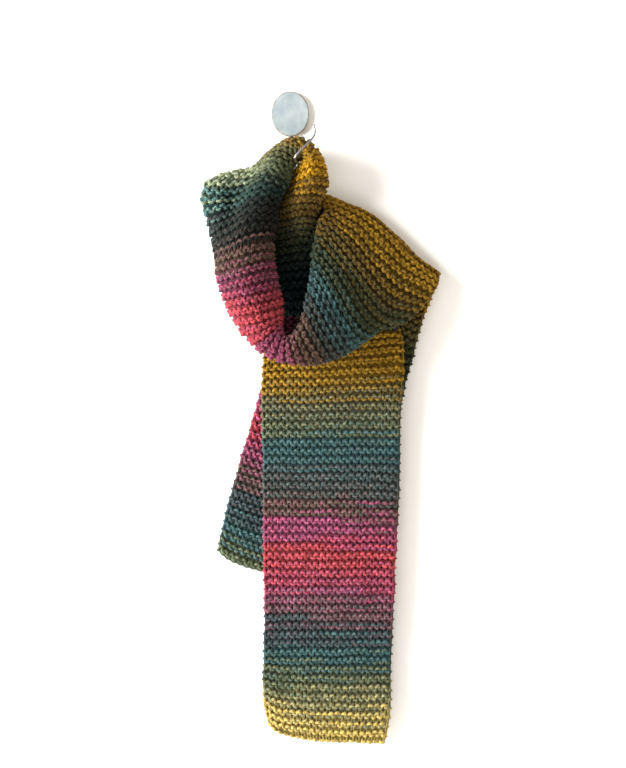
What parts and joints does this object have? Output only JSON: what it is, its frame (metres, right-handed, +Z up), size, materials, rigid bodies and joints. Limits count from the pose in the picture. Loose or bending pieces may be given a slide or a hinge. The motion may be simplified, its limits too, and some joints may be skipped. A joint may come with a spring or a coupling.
{
  "type": "knit scarf on a wall hook",
  "caption": "Long garter-stitch scarf in faded colour bands, looped once and hung by its middle on a wire wall hook with a plain oval plate.",
  "frame": {"origin": "middle of the hook plate's back face, on the wall", "axes": "+Y into the wall, +Z up, +X to the viewer's right; the scarf hangs in front of the wall towards -Y and down towards -Z"},
  "size_m": [0.2649, 0.0967, 0.718],
  "materials": {
    "wool": "soft single-ply wool in long faded colour bands, garter stitch, slightly fuzzy",
    "plate_paint": "pale blue-grey paint with a satin sheen",
    "wire": "bright drawn steel wire"
  },
  "bodies": {
    "root": {"back_tail": "wool", "right_drape": "wool", "loop_bottom": "wool", "left_drape": "wool", "hook_gather": "wool", "inner_strand": "wool", "front_tail": "wool", "wall_plate": "plate_paint", "wire_hook": "wire"}
  },
  "joints": []
}
